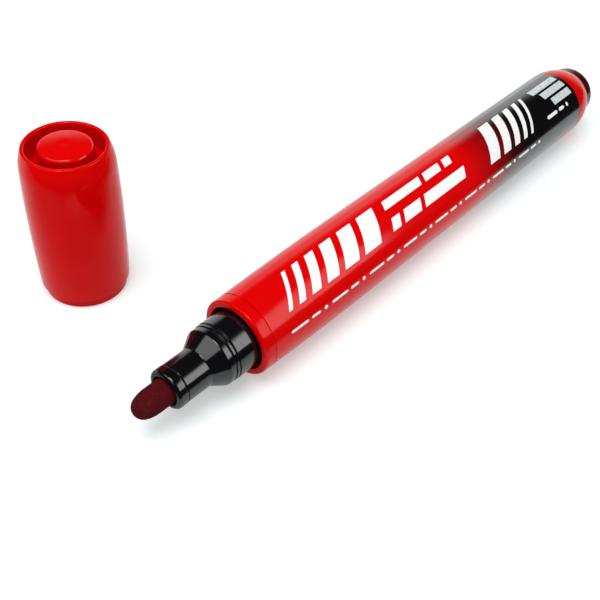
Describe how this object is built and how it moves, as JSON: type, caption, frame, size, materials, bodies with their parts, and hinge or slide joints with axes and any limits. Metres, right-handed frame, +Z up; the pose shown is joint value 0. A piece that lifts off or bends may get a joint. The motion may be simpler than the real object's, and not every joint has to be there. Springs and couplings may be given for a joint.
{
  "type": "permanent marker",
  "caption": "Round-barrelled permanent marker with a bullet felt nib in a stepped holder, a printed sleeve, a tail plug, and its push-on cap standing beside it on its open end.",
  "frame": {"origin": "on the table under the middle of the box around the lying marker and its standing cap", "axes": "+X along the marker from its nib to its tail, +Y from the marker towards its cap, +Z up from the table"},
  "size_m": [0.1362, 0.0516, 0.0305],
  "materials": {
    "barrel_red": "glossy moulded",
    "label_print": "glossy printed film, red fading to black towards the tail",
    "tail_dark": "glossy moulded",
    "holder_black": "glossy moulded",
    "nib_felt": "matt pressed felt soaked with ink",
    "reservoir_fibre": "matt bundled fibre soaked with ink",
    "reservoir_film": "clear film",
    "cap_red": "glossy moulded"
  },
  "bodies": {
    "marker": {"barrel": "barrel_red", "barrel_label": "label_print", "tail_plug": "tail_dark", "nib_holder": "holder_black", "nib": "nib_felt", "ink_reservoir": "reservoir_fibre", "reservoir_wrap": "reservoir_film"},
    "cap": {"cap_shell": "cap_red", "cap_inner_cup": "cap_red"}
  },
  "joints": [
    {"name": "cap_lift", "type": "slide", "parent": "marker", "child": "cap", "axis": [0, 0, 1], "range_m": [0, 0.06]}
  ]
}
